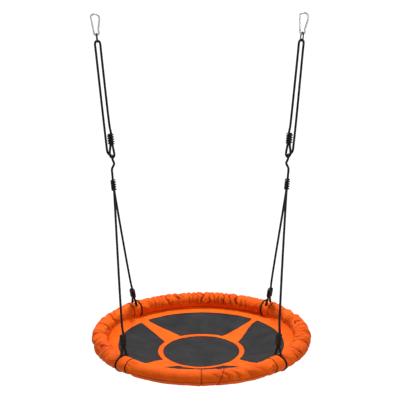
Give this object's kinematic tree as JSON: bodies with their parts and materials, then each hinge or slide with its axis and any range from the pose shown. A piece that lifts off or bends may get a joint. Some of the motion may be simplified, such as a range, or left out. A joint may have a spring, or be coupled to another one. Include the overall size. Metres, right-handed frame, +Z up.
{
  "type": "saucer nest swing",
  "caption": "Round nest swing: padded fabric-covered ring with a sagging fabric mat, hung on adjustable ropes from snap hooks.",
  "frame": {"origin": "on the hang line, midway between the inside tops of the two hooks' bows, where the beam's eyes or bolts bear", "axes": "+X to the sitter's right along the hang line, +Y to the rear, +Z up; the seat swings front to rear"},
  "size_m": [0.95, 0.95, 1.4595],
  "materials": {
    "zinc": "satin zinc plate",
    "black_steel": "black coated wire",
    "tube_steel": "galvanised tube",
    "rope": "black braided rope and binding twine",
    "foam": "closed-cell foam sleeve",
    "orange_fabric": "gathered woven polyester",
    "grey_fabric": "heavy woven polyester"
  },
  "bodies": {
    "hooks": {"left_hook_body": "zinc", "left_hook_rivet": "zinc", "right_hook_body": "zinc", "right_hook_rivet": "zinc"},
    "left_gate": {"left_hook_gate": "zinc", "left_hook_latch_pin": "zinc", "left_hook_gate_spring": "zinc"},
    "right_gate": {"right_hook_gate": "zinc", "right_hook_latch_pin": "zinc", "right_hook_gate_spring": "zinc"},
    "hanger_rings": {"left_hanger_ring": "black_steel", "right_hanger_ring": "black_steel"},
    "seat": {"left_main_rope": "rope", "left_rear_leg_rope": "rope", "left_adjuster_whipping": "rope", "left_v_whipping": "rope", "left_front_eye_whipping": "rope", "left_rear_eye_whipping": "rope", "right_main_rope": "rope", "right_rear_leg_rope": "rope", "right_adjuster_whipping": "rope", "right_v_whipping": "rope", "right_front_eye_whipping": "rope", "right_rear_eye_whipping": "rope", "ring_tube_rear_right": "tube_steel", "ring_tube_rear_left": "tube_steel", "ring_tube_front_left": "tube_steel", "ring_tube_front_right": "tube_steel", "joint_sleeve_right": "tube_steel", "joint_screw_right": "tube_steel", "foam_right": "foam", "rim_cover_right": "orange_fabric", "joint_sleeve_rear": "tube_steel", "joint_screw_rear": "tube_steel", "foam_rear": "foam", "rim_cover_rear": "orange_fabric", "joint_sleeve_left": "tube_steel", "joint_screw_left": "tube_steel", "foam_left": "foam", "rim_cover_left": "orange_fabric", "joint_sleeve_front": "tube_steel", "joint_screw_front": "tube_steel", "foam_front": "foam", "rim_cover_front": "orange_fabric", "station_band_rear_right": "orange_fabric", "edge_cord_rear_right_a": "rope", "edge_cord_rear_right_b": "rope", "station_band_rear_left": "orange_fabric", "edge_cord_rear_left_a": "rope", "edge_cord_rear_left_b": "rope", "station_band_front_left": "orange_fabric", "edge_cord_front_left_a": "rope", "edge_cord_front_left_b": "rope", "station_band_front_right": "orange_fabric", "edge_cord_front_right_a": "rope", "edge_cord_front_right_b": "rope", "seat_mat": "grey_fabric", "seat_trim": "orange_fabric"}
  },
  "joints": [
    {"name": "left_gate_hinge", "type": "hinge", "parent": "hooks", "child": "left_gate", "pos_m": [-0.42618, 0, -0.06414], "axis": [0, 1, 0], "range_deg": [0, 22], "stiffness_Nm_per_rad": 0.15, "springref_deg": -34.38},
    {"name": "right_gate_hinge", "type": "hinge", "parent": "hooks", "child": "right_gate", "pos_m": [0.40545, 0, -0.06244], "axis": [0, 1, 0], "range_deg": [0, 22], "stiffness_Nm_per_rad": 0.15, "springref_deg": -34.38},
    {"name": "seat_swing", "type": "hinge", "parent": "hooks", "child": "seat", "pos_m": [0, 0, -0.07973], "axis": [1, 0, 0], "range_deg": [-40, 40]},
    {"name": "ring_swing", "type": "hinge", "parent": "hooks", "child": "hanger_rings", "pos_m": [0, 0, -0.07973], "axis": [1, 0, 0], "range_deg": [-40, 40]}
  ],
  "couplings": [
    {"joint": "ring_swing", "follows": "seat_swing", "ratio": 1}
  ]
}
